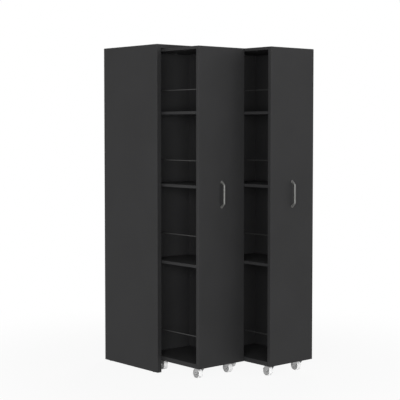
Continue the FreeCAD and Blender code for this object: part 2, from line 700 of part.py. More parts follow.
def shell_joinery():
    """Dowels and cams between the shell's sides and its top and rails."""
    joinery = Joinery()
    ends = ((SIDE_THICKNESS, X), (SHELL_WIDTH - SIDE_THICKNESS, -X))
    top_middle = SHELL_HEIGHT - TOP_THICKNESS / 2
    rail_middle = RAIL_FRONT + RAIL_THICKNESS / 2
    for place, inward in ends:
        for inset in (SHELL_DOWEL_INSET, SHELL_DEPTH / 2, RAIL_FRONT - SHELL_DOWEL_INSET):
            joinery.add_dowel((place, inset, top_middle), inward)
        for inset in (SHELL_CAM_INSET, SHELL_DEPTH - 2 * SHELL_CAM_INSET):
            joinery.add_cam((place, inset, top_middle), inward, TOP_THICKNESS)
        for bottom in rail_bottoms():
            for height in (bottom + RAIL_DOWEL_INSET, bottom + RAIL_HEIGHT - RAIL_DOWEL_INSET):
                joinery.add_dowel((place, rail_middle, height), inward)
    return joinery


def rail_bottoms():
    """Heights of the lower faces of the lower and the upper rear rail."""
    return (GLIDE_HEIGHT, TOP_BOTTOM - RAIL_HEIGHT)


def back_space(fit):
    """The space of the back panel, smaller by a fit on its edges in the rebates."""
    reach = SIDE_THICKNESS - BACK_REBATE + fit
    return box((reach, SHELL_WIDTH - reach), (SHELL_DEPTH - BACK_THICKNESS, SHELL_DEPTH),
               (GLIDE_HEIGHT, TOP_BOTTOM + BACK_REBATE - fit))


def back_screw_places():
    """Places of the back panel's screws: up both sides, then along the rails and the top."""
    left = SIDE_THICKNESS - BACK_REBATE / 2
    low = GLIDE_HEIGHT + RAIL_HEIGHT / 2
    high = TOP_BOTTOM + BACK_REBATE / 2
    rows = max(2, round((high - low) / BACK_SCREW_PITCH))
    sides = (left, SHELL_WIDTH - left)
    places = [(x, low + (high - low) * row / rows) for row in range(rows) for x in sides]
    columns = max(2, round(SHELL_INSIDE / BACK_SCREW_PITCH)) + 1
    for height in (low, TOP_BOTTOM - RAIL_HEIGHT / 2, high):
        for column in range(1, columns):
            places.append((SIDE_THICKNESS + SHELL_INSIDE * column / columns, height))
    return places


def back_screw(place):
    """A countersunk screw with its head flush in the back panel."""
    shank = BACK_SCREW_DIAMETER / 2
    outline = [(0, 0), (BACK_SCREW_HEAD_DIAMETER / 2, 0), (shank, BACK_SCREW_HEAD_HEIGHT),
               (shank, BACK_SCREW_LENGTH), (0, BACK_SCREW_LENGTH)]
    return turned(outline, -Y, (place[0], SHELL_DEPTH, place[1]))


def back_screw_bore(place):
    """The countersunk bore of one back screw, through the panel and into what lies behind it."""
    shank = BACK_SCREW_DIAMETER / 2 + BACK_SCREW_FIT
    depth = BACK_SCREW_LENGTH + BACK_SCREW_FIT
    head = BACK_SCREW_HEAD_DIAMETER / 2 + BACK_SCREW_FIT
    outline = [(0, 0), (head, 0), (shank, BACK_SCREW_HEAD_HEIGHT), (shank, depth), (0, depth)]
    return turned(outline, -Y, (place[0], SHELL_DEPTH, place[1]))


def wall_bores():
    """The bores through the upper rail and the back panel for screws into a wall."""
    height = TOP_BOTTOM - RAIL_HEIGHT / 4
    start = RAIL_FRONT - OVERRUN
    length = SHELL_DEPTH - RAIL_FRONT + 2 * OVERRUN
    places = (WALL_BORE_SIDE_INSET, SHELL_WIDTH - WALL_BORE_SIDE_INSET)
    return [rod((x, start, height), Y, WALL_BORE_DIAMETER / 2, length) for x in places]


def glide_places():
    """Places of the floor glides: under the front and rear end of each side panel."""
    middles = (SIDE_THICKNESS / 2, SHELL_WIDTH - SIDE_THICKNESS / 2)
    return [(x, y) for x in middles for y in (GLIDE_END_INSET, SHELL_DEPTH - GLIDE_END_INSET)]


def glide(place):
    """A floor glide: a round foot with a pin in the side panel."""
    foot = rod((place[0], place[1], 0), Z, GLIDE_DIAMETER / 2, GLIDE_HEIGHT)
    rim = [edge for edge in foot.Edges if edge.BoundBox.ZMax < GLIDE_HEIGHT / 2]
    pin = rod((place[0], place[1], GLIDE_HEIGHT), Z, GLIDE_PIN_DIAMETER / 2, GLIDE_PIN_LENGTH)
    return foot.makeFillet(GLIDE_ROUND, rim).fuse(pin).removeSplitter()


def glide_bore(place):
    """The bore for a glide's pin."""
    start = (place[0], place[1], GLIDE_HEIGHT - OVERRUN)
    depth = GLIDE_PIN_LENGTH + OVERRUN + DOWEL_END_GAP
    return rod(start, Z, GLIDE_PIN_DIAMETER / 2 + DOWEL_FIT, depth)


def stop_buffers():
    """Rubber buffers on both rails, two to each unit."""
    first = SIDE_THICKNESS + UNIT_SIDE_GAP
    second = first + UNIT_WIDTH + UNIT_MIDDLE_GAP
    low = (CASTER_HEIGHT + GLIDE_HEIGHT + RAIL_HEIGHT) / 2
    high = TOP_BOTTOM - RAIL_HEIGHT / 2
    buffers = []
    for left in (first, second):
        for x in (left + BUFFER_SIDE_INSET, left + UNIT_WIDTH - BUFFER_SIDE_INSET):
            for z in (low, high):
                base = FreeCAD.Vector(x, RAIL_FRONT, z)
                buffers.append(Part.makeCone(BUFFER_DIAMETER / 2, BUFFER_TIP_DIAMETER / 2,
                                             BUFFER_LENGTH, base, -Y))
    return buffers


def build_shell():
    """The shell: sides, top, back and rear rails, with what holds them and what they stand on."""
    joinery = shell_joinery()
    back_bores = [back_screw_bore(place) for place in back_screw_places()]
    rebate = [back_space(0)]
    glide_bores = [glide_bore(place) for place in glide_places()]
    for side, left in (("left", 0), ("right", SHELL_WIDTH - SIDE_THICKNESS)):
        span = (left, left + SIDE_THICKNESS)
        panel = eased(box(span, (0, SHELL_DEPTH), (GLIDE_HEIGHT, SHELL_HEIGHT)))
        write(f"shell_side_{side}", joinery.bored(cut(panel, rebate + glide_bores + back_bores)))
    between = (SIDE_THICKNESS, SHELL_WIDTH - SIDE_THICKNESS)
    top = box(between, (0, SHELL_DEPTH), (TOP_BOTTOM, SHELL_HEIGHT))
    top = eased(top, lambda edge: edge.BoundBox.YMax < EDGE_RADIUS < edge.BoundBox.XLength)
    write("shell_top", joinery.bored(cut(top, rebate + back_bores)))
    write("shell_back", cut(back_space(BACK_FIT), back_bores + wall_bores()))
    for level, bottom in zip(("lower", "upper"), rail_bottoms()):
        depth = (RAIL_FRONT, RAIL_FRONT + RAIL_THICKNESS)
        rail = box(between, depth, (bottom, bottom + RAIL_HEIGHT))
        write(f"shell_rail_{level}", joinery.bored(cut(rail, back_bores + wall_bores())))
    write("shell_dowels", *joinery.dowels)
    write("shell_cam_fittings", *joinery.fittings)
    write("back_screws", *[back_screw(place) for place in back_screw_places()])
    write("floor_glides", *[glide(place) for place in glide_places()])
    write("stop_buffers", *stop_buffers())


os.makedirs("parts", exist_ok=True)
build_shell()
first_place = SIDE_THICKNESS + UNIT_SIDE_GAP
second_place = first_place + UNIT_WIDTH + UNIT_MIDDLE_GAP
build_unit("left", FreeCAD.Vector(first_place, -LEFT_PULL, 0))
build_unit("right", FreeCAD.Vector(second_place, -RIGHT_PULL, 0))
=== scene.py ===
import math

import bmesh
import bpy
from bpy.props import FloatProperty, FloatVectorProperty, IntProperty, PointerProperty
from mathutils import Matrix, Vector


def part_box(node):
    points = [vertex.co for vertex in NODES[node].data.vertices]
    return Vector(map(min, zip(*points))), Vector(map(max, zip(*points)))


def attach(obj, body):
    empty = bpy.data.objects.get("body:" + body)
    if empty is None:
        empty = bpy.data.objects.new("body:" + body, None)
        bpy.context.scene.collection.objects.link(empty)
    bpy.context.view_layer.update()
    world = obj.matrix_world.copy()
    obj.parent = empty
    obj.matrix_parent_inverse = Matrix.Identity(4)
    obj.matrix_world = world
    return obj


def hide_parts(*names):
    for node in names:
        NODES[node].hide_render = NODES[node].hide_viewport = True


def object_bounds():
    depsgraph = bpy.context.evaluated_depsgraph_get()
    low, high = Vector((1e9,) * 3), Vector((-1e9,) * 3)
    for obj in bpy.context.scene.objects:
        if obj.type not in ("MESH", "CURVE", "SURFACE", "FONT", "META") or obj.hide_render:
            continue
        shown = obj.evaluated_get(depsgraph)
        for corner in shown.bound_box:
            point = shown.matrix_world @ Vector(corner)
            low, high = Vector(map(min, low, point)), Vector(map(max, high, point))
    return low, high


# Looks of an extendable bookcase: the finish of its boards, metal, wheels and fittings, the small
# covers that hide its cam fittings, and a plain studio round it. Lengths are in metres.

bl_info = {
    "name": "Extendable Bookcase",
    "version": (1, 0, 0),
    "blender": (4, 5, 0),
    "location": "View3D > Sidebar > Bookcase",
    "description": "Finishes, wheels, cam covers and studio of an extendable bookcase",
    "category": "Object",
}

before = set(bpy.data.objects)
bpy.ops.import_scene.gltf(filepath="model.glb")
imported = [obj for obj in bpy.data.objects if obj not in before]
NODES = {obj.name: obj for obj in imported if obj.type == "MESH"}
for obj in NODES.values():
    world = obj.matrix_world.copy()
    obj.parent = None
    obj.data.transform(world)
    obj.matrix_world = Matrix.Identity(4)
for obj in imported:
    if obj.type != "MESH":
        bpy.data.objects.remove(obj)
BOX_AT_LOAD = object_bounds()
UNITS = ("left", "right")
CORNERS = ("front_left", "front_right", "rear_left", "rear_right")
UNIT_BOARDS = ("front_panel", "rear_panel", "side_wall", "top_board", "base_board",
               "shelf_lower", "shelf_middle", "shelf_upper")
MM = 0.001

WHITE = (1.0, 1.0, 1.0, 1.0)
MID_NOISE = 0.5                   # the mean of a noise
SHARP_ANGLE = math.radians(35)    # edges that turn by more than this stay sharp
TREAD_STEPS = 96                  # steps round a tread
SHOULDER_STEPS = 6                # steps across a tread's rounded edge
GROOVE_SHARES = (-0.6, 0.0, 0.6)  # places of the grooves, as shares of a tread's flat half width
HUB_STEPS = 144                   # steps round a hub
HUB_ROWS = 5                      # rows of faces from a hub's boss to its rim
HUB_EDGE = 0.6 * MM               # rounding of a hub's edges and ribs
RIB_DROP = 2.2 * MM               # how far the ribs stay below the face of the rim
CAM_TOLERANCE = 0.1 * MM          # how close the width of a loose part comes to that of a cam
COVER_STEPS = 40                  # steps round a cam cover
COVER_EDGE_STEPS = 4              # steps across its rounded edge
COVER_ROUNDING = 0.6              # radius of that edge, in thicknesses
COVER_DOME = (1.08, 1.1)          # height halfway in and at the middle, in thicknesses
COVER_EYE = 0.02 * MM             # radius at which its section starts, just off the axis
SENSOR_WIDTH = 36.0               # of the camera, in millimetres


# Materials

class Wire:
    """A node's output socket, with Python's arithmetic for the numbers that it carries."""

    def __init__(self, maker, socket):
        self.maker = maker
        self.socket = socket

    def maths(self, operation, *values):
        return self.maker.node("ShaderNodeMath", {"operation": operation}, dict(enumerate(values)))

    def __add__(self, other):
        return self.maths("ADD", self, other)

    def __sub__(self, other):
        return self.maths("SUBTRACT", self, other)

    def __rsub__(self, other):
        return self.maths("SUBTRACT", other, self)

    def __mul__(self, other):
        return self.maths("MULTIPLY", self, other)

    __radd__ = __add__
    __rmul__ = __mul__

    def clamped(self):
        return self.maths("MINIMUM", self.maths("MAXIMUM", self, 0.0), 1.0)

    def eased(self, low, high):
        """0 below low, 1 above high and a smooth step between."""
        settings = {"interpolation_type": "SMOOTHSTEP"}
        return self.maker.node("ShaderNodeMapRange", settings, {0: self, 1: low, 2: high})


def colour(values, factor=1.0):
    """A stored colour as red, green, blue and alpha, lighter or darker by a factor."""
    return (*[part * factor for part in values], 1.0)


def blend(first, second, share):
    """Two noises added, the first by its share and the second by the rest."""
    return first * share + second * (1.0 - share)


def about(mean, noise, spread):
    """A value that a noise takes up and down about its mean."""
    return mean + (noise - MID_NOISE) * spread


def risen(least, noise, rise):
    """A value that a noise lifts above its least."""
    return least + noise * rise


class Maker:
    """Adds nodes to a node tree."""

    def __init__(self, tree):
        self.tree = tree

    def node(self, kind, settings=None, values=None, output=0):
        """Adds a node, makes its settings, then fills its sockets, and gives one output."""
        node = self.tree.nodes.new(kind)
        for key, value in (settings or {}).items():
            setattr(node, key, value)
        for key, value in (values or {}).items():
            self.set(node.inputs[key], value)
        return Wire(self, node.outputs[output])

    def set(self, socket, value):
        """Links a wire to a socket, or stores a plain value on it."""
        if isinstance(value, Wire):
            self.tree.links.new(value.socket, socket)
        else:
            socket.default_value = value


class Finish(Maker):
    """A material under construction, with one Principled shader."""

    def __init__(self, name):
        self.material = bpy.data.materials.new(name)
        self.material.use_nodes = True
        super().__init__(self.material.node_tree)
        self.shader = self.tree.nodes["Principled BSDF"]

    def shade(self, **values):
        """Sets the shader's sockets, named with underscores for spaces."""
        for key, value in values.items():
            self.set(self.shader.inputs[key.replace("_", " ")], value)
        return self.material

    def place(self):
        """The place on the piece, in metres, which moves with it."""
        return self.node("ShaderNodeTexCoord", output="Object")

    def stretched(self, place, factors):
        """A place scaled by a factor along each axis."""
        return self.node("ShaderNodeVectorMath", {"operation": "MULTIPLY"}, {0: place, 1: factors})

    def noise(self, place, per_metre, detail=2.0, roughness=0.5):
        """A noise with about so many grains to the metre."""
        values = {"Vector": place, "Scale": per_metre, "Detail": detail, "Roughness": roughness}
        return self.node("ShaderNodeTexNoise", None, values)

    def mixed(self, factor, first, second):
        """Two colours mixed by a factor."""
        values = {0: factor, 6: first, 7: second}
        return self.node("ShaderNodeMix", {"data_type": "RGBA"}, values, output=2)

    def toned(self, noise, values, dark, light, start=0.3, end=0.7):
        """A colour that goes from a dark to a light factor of itself as a noise goes up."""
        return self.mixed(noise.eased(start, end), colour(values, dark), colour(values, light))

    def bump(self, height, depth):
        """A normal from a height between 0 and 1, with its depth in metres."""
        values = {"Height": height, "Distance": depth, "Strength": 1.0}
        return self.node("ShaderNodeBump", None, values)


def melamine(settings):
    """Anthracite melamine on chipboard: matt, with a fine pearl grain and a hint of mottling."""
    finish = Finish("anthracite melamine")
    place = finish.place()
    pearl = finish.noise(place, 1.0 / settings.grain, detail=3.0, roughness=0.6)
    mottle = finish.noise(place, 1.0 / settings.mottle, detail=3.0)
    dark, light = 1.0 - settings.contrast, 1.0 + settings.contrast
    return finish.shade(
        Base_Color=finish.toned(blend(pearl, mottle, share=0.5), settings.colour, dark, light),
        Roughness=about(settings.roughness, pearl, spread=0.12),
        Normal=finish.bump(pearl, settings.relief),
        Specular_IOR_Level=settings.sheen,
    )


def hardboard(settings):
    """Dark lacquered hardboard with the fine screen print that its press leaves."""
    finish = Finish("lacquered hardboard")
    place = finish.place()
    bands = {"Vector": place, "Scale": 220.0}
    across, upright = [
        finish.node("ShaderNodeTexWave", {"bands_direction": axis}, bands) for axis in "XZ"]
    screen = across * upright
    drawn_up = (1.0, 1.0, 0.35)
    fibre = finish.noise(
        finish.stretched(place, drawn_up), per_metre=260.0, detail=5.0, roughness=0.65)
    return finish.shade(
        Base_Color=finish.toned(blend(fibre, screen, share=0.7), settings.colour,
                                dark=0.75, light=1.2, start=0.25, end=0.75),
        Roughness=risen(0.62, fibre, rise=0.16),
        Normal=finish.bump(blend(screen, fibre, share=0.5), depth=0.06 * MM),
        Specular_IOR_Level=0.3,
    )


def powder_coat(name, paint, roughness):
    """Smooth powder coat on steel, with its faint orange peel."""
    finish = Finish(name)
    peel = finish.noise(finish.place(), per_metre=700.0, roughness=0.4)
    return finish.shade(
        Base_Color=finish.toned(peel, paint, dark=0.85, light=1.15, start=0.35, end=0.65),
        Roughness=about(roughness, peel, spread=0.1),
        Normal=finish.bump(peel, depth=0.02 * MM),
    )


def satin_nickel(settings):
    """Satin nickel plate, brushed along the bar."""
    finish = Finish("satin nickel")
    place = finish.place()
    along_bar = (1.0, 1.0, 0.03)
    brush = finish.noise(
        finish.stretched(place, along_bar), per_metre=3600.0, detail=3.0, roughness=0.6)
    cloud = finish.noise(place, per_metre=60.0)
    return finish.shade(
        Base_Color=finish.toned(blend(brush, cloud, share=0.6), settings.nickel,
                                dark=0.86, light=1.08),
        Metallic=1.0,
        Roughness=about(settings.satin, brush, spread=0.16),
        Normal=finish.bump(brush, depth=0.012 * MM),
    )


def zinc_plate(settings):
    """Bright zinc on pressed steel, with the faint spangle and cloudiness of the plating."""
    finish = Finish("bright zinc plate")
    place = finish.place()
    cloud = finish.noise(place, per_metre=140.0, detail=4.0, roughness=0.6)
    spangle = finish.noise(place, per_metre=1900.0)
    return finish.shade(
        Base_Color=finish.toned(blend(cloud, spangle, share=0.7), settings.zinc,
                                dark=0.8, light=1.1),
        Metallic=1.0,
        Roughness=risen(0.26, cloud, rise=0.2),
        Normal=finish.bump(spangle, depth=0.01 * MM),
    )


def cast_zinc(settings):
    """The duller, slightly pitted zinc of die-cast cams."""
    finish = Finish("cast zinc")
    grain = finish.noise(finish.place(), per_metre=900.0, detail=4.0, roughness=0.6)
    return finish.shade(
        Base_Color=finish.toned(grain, settings.zinc, dark=0.6, light=0.85),
        Metallic=1.0,
        Roughness=risen(0.42, grain, rise=0.2),
        Normal=finish.bump(grain, depth=0.03 * MM),
    )


def moulded(name, plastic, roughness, relief=0.015 * MM):
    """Moulded plastic or rubber with a fine spark-eroded grain."""
    finish = Finish(name)
    place = finish.place()
    grain = finish.noise(place, per_metre=1400.0)
    cloud = finish.noise(place, per_metre=90.0)
    return finish.shade(
        Base_Color=finish.toned(blend(grain, cloud, share=0.4), plastic, dark=0.93, light=1.05),
        Roughness=about(roughness, grain, spread=0.12),
        Normal=finish.bump(grain, relief),
    )


def beech(settings):
    """Bare beech, with its fine darker flecks along the grain."""
    finish = Finish("bare beech")
    along_grain = (1.0, 0.2, 1.0)
    place = finish.stretched(finish.place(), along_grain)
    rings = finish.noise(place, per_metre=160.0, detail=4.0, roughness=0.6)
    flecks = finish.noise(place, per_metre=1500.0).eased(0.55, 0.7)
    ring_share, fleck_share, fleck_shade = 0.7, 0.5, 0.68
    tone = (rings * ring_share + flecks * fleck_share).clamped()
    pale, dark = colour(settings.beech), colour(settings.beech, fleck_shade)
    return finish.shade(
        Base_Color=finish.mixed(tone, pale, dark),
        Roughness=risen(0.6, flecks, rise=0.1),
        Normal=finish.bump(flecks, depth=-0.02 * MM),
    )


def dress(material, *names):
    """Gives CAD nodes one material in place of the plain one that they come with."""
    for name in names:
        mesh = NODES[name].data
        mesh.materials.clear()
        mesh.materials.append(material)


# Shapes

def lathe(shape, outline_at, steps, place):
    """Adds a ring of faces to a bmesh: a closed outline turned about Z and moved by a matrix.

    The outline holds (radius, height) points, which may change with the angle."""
    rings = []
    for step in range(steps):
        angle = 2 * math.pi * step / steps
        ring = []
        for radius, height in outline_at(angle):
            point = Vector((radius * math.cos(angle), radius * math.sin(angle), height))
            ring.append(shape.verts.new(place @ point))
        rings.append(ring)
    for this, following in zip(rings, rings[1:] + rings[:1]):
        for index in range(len(this)):
            after = (index + 1) % len(this)
            shape.faces.new((this[index], following[index], following[after], this[after]))


def arc(centre, radius, start, end, count):
    """Points of a round corner, angles in degrees from the first coordinate."""
    points = []
    for index in range(count + 1):
        angle = math.radians(start + (end - start) * index / count)
        points.append((centre[0] + radius * math.cos(angle), centre[1] + radius * math.sin(angle)))
    return points


def mesh_of(name, shape):
    """A mesh with the faces of a bmesh, which is freed."""
    mesh = bpy.data.meshes.new(name)
    shape.to_mesh(mesh)
    shape.free()
    return mesh


def piece(name, shape, material, body):
    """Makes a smooth object of a bmesh and lets it ride on a body."""
    bmesh.ops.recalc_face_normals(shape, faces=shape.faces)
    mesh = mesh_of(name, shape)
    mesh.shade_smooth()
    mesh.set_sharp_from_angle(angle=SHARP_ANGLE)
    mesh.materials.append(material)
    made = bpy.data.objects.new(name, mesh)
    bpy.context.scene.collection.objects.link(made)
    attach(made, body)
    return made


def middle_and_size(name):
    """The middle and the size of a CAD node's box."""
    low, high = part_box(name)
    return (low + high) / 2, high - low


def settings_of(name):
    """The settings of one group, as they stand in the scene."""
    return getattr(bpy.context.scene, f"bookcase_{name}")


# Settings

class BoardSettings(bpy.types.PropertyGroup):
    """Finish of the melamine boards and the back panel."""

    colour: FloatVectorProperty(
        name="Colour", description="Colour of the melamine", subtype="COLOR", size=3,
        default=(0.0165, 0.0165, 0.017), min=0.0, max=1.0)
    contrast: FloatProperty(
        name="Contrast", description="How far the pearl grain varies the colour", default=0.12)
    grain: FloatProperty(
        name="Grain", description="Size of the pearl grain", default=1.1 * MM, unit="LENGTH",
        precision=5)
    mottle: FloatProperty(
        name="Mottling", description="Size of the soft patches", default=0.28, unit="LENGTH")
    relief: FloatProperty(
        name="Relief", description="Depth of the pearl grain", default=0.025 * MM, unit="LENGTH",
        precision=6)
    roughness: FloatProperty(name="Roughness", description="Mean roughness", default=0.56)
    sheen: FloatProperty(
        name="Sheen", description="Strength of the surface reflection", default=0.2)


class MetalSettings(bpy.types.PropertyGroup):
    """Finish of handles, rods, casters and fastenings."""

    nickel: FloatVectorProperty(
        name="Nickel", description="Colour of the handles", subtype="COLOR", size=3,
        default=(0.15, 0.15, 0.145), min=0.0, max=1.0)
    satin: FloatProperty(name="Satin", description="Mean roughness of the handles", default=0.66)
    zinc: FloatVectorProperty(
        name="Zinc", description="Colour of the plated steel", subtype="COLOR", size=3,
        default=(0.45, 0.45, 0.45), min=0.0, max=1.0)
    rod: FloatVectorProperty(
        name="Rods", description="Colour of the rods across the open sides", subtype="COLOR",
        size=3, default=(0.009, 0.009, 0.009), min=0.0, max=1.0)


class WheelSettings(bpy.types.PropertyGroup):
    """Shape and colour of the caster wheels."""

    tread: FloatProperty(
        name="Tread", description="Thickness of the tread", default=2 * MM, unit="LENGTH",
        precision=4)
    tread_round: FloatProperty(
        name="Rounding", description="Radius of the tread's edges", default=1.5 * MM,
        unit="LENGTH", precision=4)
    tread_width: FloatProperty(
        name="Tread width", description="Width of the tread", default=26.5 * MM, unit="LENGTH",
        precision=4)
    groove: FloatProperty(
        name="Groove", description="Depth of the fine grooves in the tread", default=0.35 * MM,
        unit="LENGTH", precision=5)
    rim: FloatProperty(
        name="Rim", description="Thickness of the hub's rim", default=5 * MM, unit="LENGTH",
        precision=4)
    rim_width: FloatProperty(
        name="Rim width", description="Width of the hub's rim", default=25 * MM, unit="LENGTH",
        precision=4)
    web: FloatProperty(
        name="Web", description="Thickness of the hub between its ribs", default=18 * MM,
        unit="LENGTH", precision=4)
    boss: FloatProperty(
        name="Boss", description="Radius of the hub's boss", default=7.5 * MM, unit="LENGTH",
        precision=4)
    bore: FloatProperty(
        name="Bore", description="Radius of the hub's bore", default=3.55 * MM, unit="LENGTH",
        precision=5)
    ribs: IntProperty(name="Ribs", description="Ribs from boss to rim", default=6, min=3)
    rib_width: FloatProperty(
        name="Rib width", description="Width of a rib", default=2.4 * MM, unit="LENGTH",
        precision=4)
    hub_colour: FloatVectorProperty(
        name="Hub", description="Colour of the hub", subtype="COLOR", size=3,
        default=(0.30, 0.30, 0.30), min=0.0, max=1.0)
    tread_colour: FloatVectorProperty(
        name="Tread", description="Colour of the tread", subtype="COLOR", size=3,
        default=(0.90, 0.90, 0.90), min=0.0, max=1.0)


class FittingSettings(bpy.types.PropertyGroup):
    """Covers over the cams, and colours of the small parts."""

    cover_radius: FloatProperty(
        name="Cover radius", description="Radius of the cover on a cam", default=9 * MM,
        unit="LENGTH", precision=4)
    cover_thickness: FloatProperty(
        name="Cover thickness", description="Thickness of the cover", default=1.2 * MM,
        unit="LENGTH", precision=4)
    cam_width: FloatProperty(
        name="Cam", description="Diameter of a cam, by which the cams are found", default=15 * MM,
        unit="LENGTH", precision=4)
    cover_colour: FloatVectorProperty(
        name="Covers", description="Colour of the covers", subtype="COLOR", size=3,
        default=(0.022, 0.022, 0.023), min=0.0, max=1.0)
    rubber: FloatVectorProperty(
        name="Rubber", description="Colour of the stop buffers", subtype="COLOR", size=3,
        default=(0.02, 0.02, 0.02), min=0.0, max=1.0)
    bearing: FloatVectorProperty(
        name="Bearing", description="Colour of the bearing rings", subtype="COLOR", size=3,
        default=(0.72, 0.71, 0.68), min=0.0, max=1.0)
    beech: FloatVectorProperty(
        name="Beech", description="Colour of the dowels", subtype="COLOR", size=3,
        default=(0.55, 0.37, 0.21), min=0.0, max=1.0)


class StageSettings(bpy.types.PropertyGroup):
    """The studio: floor, light and camera."""

    floor_size: FloatProperty(
        name="Floor", description="Width of the floor", default=60.0, unit="LENGTH")
    floor_colour: FloatVectorProperty(
        name="Floor colour", description="Colour of the floor", subtype="COLOR", size=3,
        default=(0.62, 0.62, 0.62), min=0.0, max=1.0)
    floor_glow: FloatProperty(
        name="Floor glow",
        description="How much of the floor near the object is seen as plain white", default=0.92)
    glow_start: FloatProperty(
        name="Glow start",
        description="Distance at which the floor starts to fade to plain white", default=0.7,
        unit="LENGTH")
    glow_end: FloatProperty(
        name="Glow end", description="Distance from which the floor is seen as plain white",
        default=2.4, unit="LENGTH")
    ambient: FloatProperty(
        name="Ambient", description="Strength of the even light from all round", default=0.24)
    key: FloatProperty(
        name="Key", description="Power of the large lamp at the front right", default=45.0)
    key_place: FloatVectorProperty(
        name="Key place", description="Where the key lamp stands", size=3, subtype="TRANSLATION",
        default=(1.3, -4.5, 3.2))
    fill: FloatProperty(
        name="Fill", description="Power of the large lamp at the front left", default=165.0)
    fill_place: FloatVectorProperty(
        name="Fill place", description="Where the fill lamp stands", size=3,
        subtype="TRANSLATION", default=(-4.5, -3.2, 1.5))
    front: FloatProperty(
        name="Front", description="Power of the large lamp beside the camera", default=275.0)
    front_place: FloatVectorProperty(
        name="Front place", description="Where the front lamp stands", size=3,
        subtype="TRANSLATION", default=(-4.2, -6.0, 1.4))
    rear: FloatProperty(
        name="Rear", description="Power of the large lamp at the rear right", default=180.0)
    rear_place: FloatVectorProperty(
        name="Rear place", description="Where the rear lamp stands", size=3,
        subtype="TRANSLATION", default=(4.6, 3.6, 2.4))
    lamp_size: FloatProperty(
        name="Lamp size", description="Width of each lamp", default=1.8, unit="LENGTH")
    camera_place: FloatVectorProperty(
        name="Camera", description="Where the camera stands", size=3, subtype="TRANSLATION",
        default=(-4.2759, -4.8442, 1.3803))
    camera_turn: FloatProperty(
        name="Turn", description="How far the camera looks to the right of straight ahead",
        subtype="ANGLE", default=math.radians(40.925))
    camera_tilt: FloatProperty(
        name="Tilt", description="How far the camera looks down", subtype="ANGLE",
        default=math.radians(3.0))
    lens: FloatProperty(name="Lens", description="Focal length in millimetres", default=100.53)
    shift: FloatProperty(
        name="Shift", description="Vertical shift of the lens, in frame widths", default=-0.0325)


SETTINGS = {
    "boards": BoardSettings,
    "metal": MetalSettings,
    "wheels": WheelSettings,
    "fittings": FittingSettings,
    "stage": StageSettings,
}


# Operators

class BOOKCASE_OT_boards(bpy.types.Operator):
    """Finishes the boards of the shell and of both units, and the back panel"""

    bl_idname = "bookcase.boards"
    bl_label = "Boards"

    def execute(self, context):
        settings = settings_of("boards")
        board = melamine(settings)
        dress(board, "shell_side_left", "shell_side_right", "shell_top",
              "shell_rail_lower", "shell_rail_upper")
        dress(board, *[f"{unit}_{name}" for unit in UNITS for name in UNIT_BOARDS])
        dress(hardboard(settings), "shell_back")
        return {"FINISHED"}


class BOOKCASE_OT_rails(bpy.types.Operator):
    """Finishes the black rods across the open sides"""

    bl_idname = "bookcase.rails"
    bl_label = "Book rails"

    def execute(self, context):
        black = powder_coat("black powder coat", settings_of("metal").rod, roughness=0.42)
        dress(black, *[f"{unit}_book_rails" for unit in UNITS])
        return {"FINISHED"}


class BOOKCASE_OT_handles(bpy.types.Operator):
    """Finishes the two bow handles"""

    bl_idname = "bookcase.handles"
    bl_label = "Handles"

    def execute(self, context):
        dress(satin_nickel(settings_of("metal")), *[f"{unit}_handle" for unit in UNITS])
        return {"FINISHED"}


class BOOKCASE_OT_caster_metal(bpy.types.Operator):
    """Finishes the caster plates, forks, screws and bearing rings"""

    bl_idname = "bookcase.caster_metal"
    bl_label = "Caster metal"

    def execute(self, context):
        plated = zinc_plate(settings_of("metal"))
        ring = moulded("bearing plastic", settings_of("fittings").bearing, roughness=0.4)
        for unit in UNITS:
            dress(plated, f"{unit}_caster_plates", f"{unit}_caster_screws")
            dress(plated, *[f"{unit}_fork_{corner}" for corner in CORNERS])
            dress(ring, f"{unit}_swivel_bearings")
        return {"FINISHED"}


